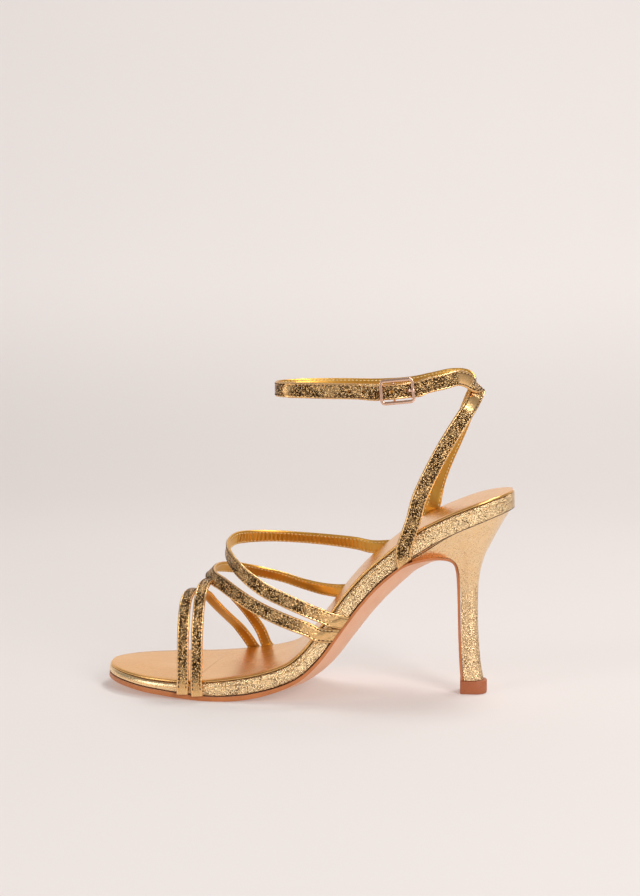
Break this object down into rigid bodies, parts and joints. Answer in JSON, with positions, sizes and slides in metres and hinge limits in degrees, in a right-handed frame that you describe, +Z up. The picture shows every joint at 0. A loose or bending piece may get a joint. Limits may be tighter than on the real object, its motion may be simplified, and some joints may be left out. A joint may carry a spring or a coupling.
{
  "type": "strappy heeled sandal",
  "caption": "Left high-heeled sandal with thin crossing toe and instep straps and a buckled ankle strap that crosses behind the heel.",
  "frame": {"origin": "middle of the sandal's bounds, on the floor it stands on", "axes": "+X from the toe to the heel, +Y towards the inner side of the foot, +Z up"},
  "size_m": [0.2168, 0.08, 0.1714],
  "materials": {
    "foil_leather": "crinkled gold metallic foil on leather",
    "insole_leather": "smooth gold metallic leather",
    "outsole_leather": "smooth tan leather with a rust brown edge",
    "heel_tip": "dense rust brown rubber",
    "buckle_metal": "polished pale rose gold plate"
  },
  "bodies": {
    "root": {"outsole": "outsole_leather", "footbed": "foil_leather", "insole": "insole_leather", "heel": "foil_leather", "heel_tip": "heel_tip", "front_toe_strap": "foil_leather", "instep_straps": "foil_leather", "ankle_straps": "foil_leather", "buckle_frame": "buckle_metal", "buckle_prong": "buckle_metal"}
  },
  "joints": []
}
